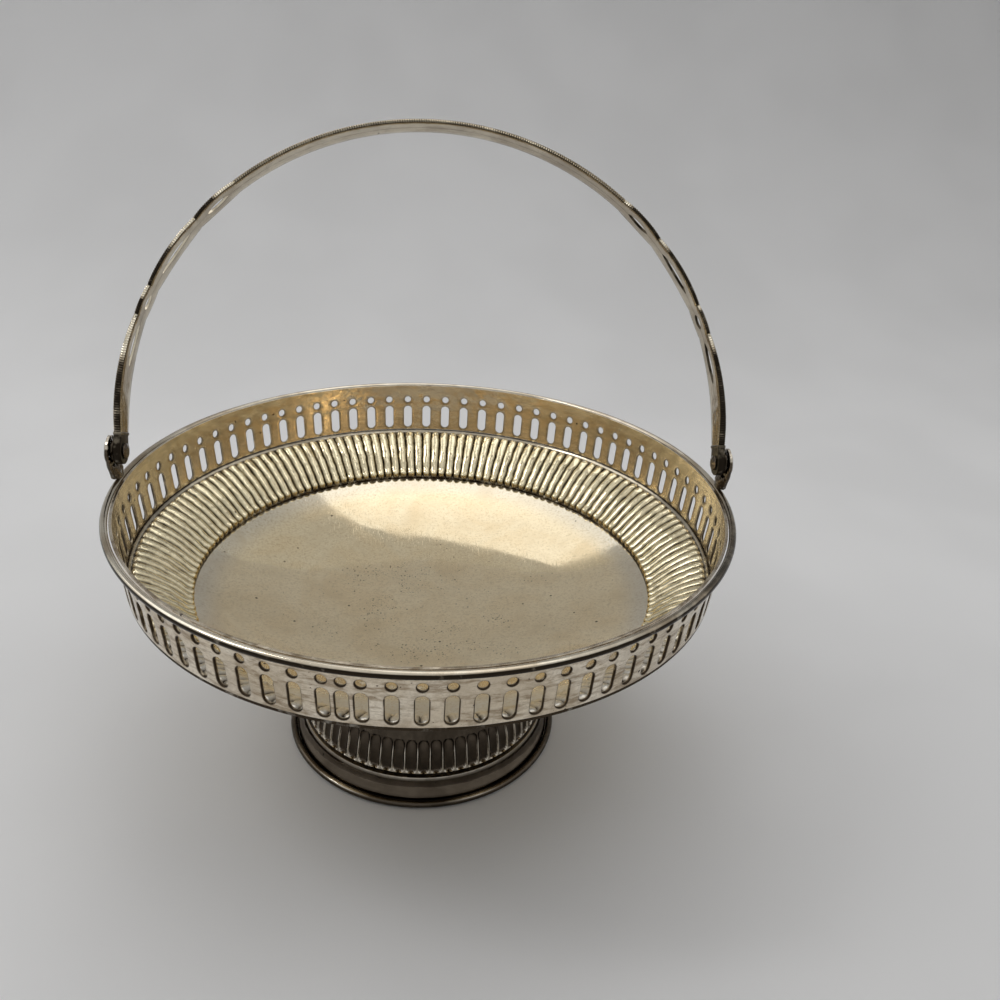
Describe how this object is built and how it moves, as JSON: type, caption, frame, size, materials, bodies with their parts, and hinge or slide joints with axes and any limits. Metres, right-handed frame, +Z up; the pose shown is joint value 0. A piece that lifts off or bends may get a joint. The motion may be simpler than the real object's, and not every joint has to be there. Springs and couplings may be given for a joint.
{
  "type": "swing-handle basket",
  "caption": "Round silver-plated basket with a pierced gallery, reeded border and smooth well, on a pedestal foot, with a hinged arch handle.",
  "frame": {"origin": "middle of the foot, on the surface that the basket stands on", "axes": "+Z up, X along the handle's hinge axis, +Y to the back, the way the handle leans"},
  "size_m": [0.257, 0.2532, 0.2588],
  "materials": {
    "silver_plate": "worn silver plate, warm and polished",
    "tarnished_plate": "darker tarnished silver plate",
    "handle_plate": "worn silver plate, satin"
  },
  "bodies": {
    "basket": {"bowl": "silver_plate", "gallery": "silver_plate", "rim_wire": "silver_plate", "foot": "tarnished_plate", "foot_wire": "tarnished_plate", "ear_left": "tarnished_plate", "ear_right": "tarnished_plate", "rivet_left": "handle_plate", "rivet_right": "handle_plate", "washer_left": "tarnished_plate", "washer_right": "tarnished_plate"},
    "swing_handle": {"handle": "handle_plate"}
  },
  "joints": [
    {"name": "handle_swing", "type": "hinge", "parent": "basket", "child": "swing_handle", "pos_m": [0, 0, 0.1335], "axis": [1, 0, 0], "range_deg": [-70.5, 120.5]}
  ]
}
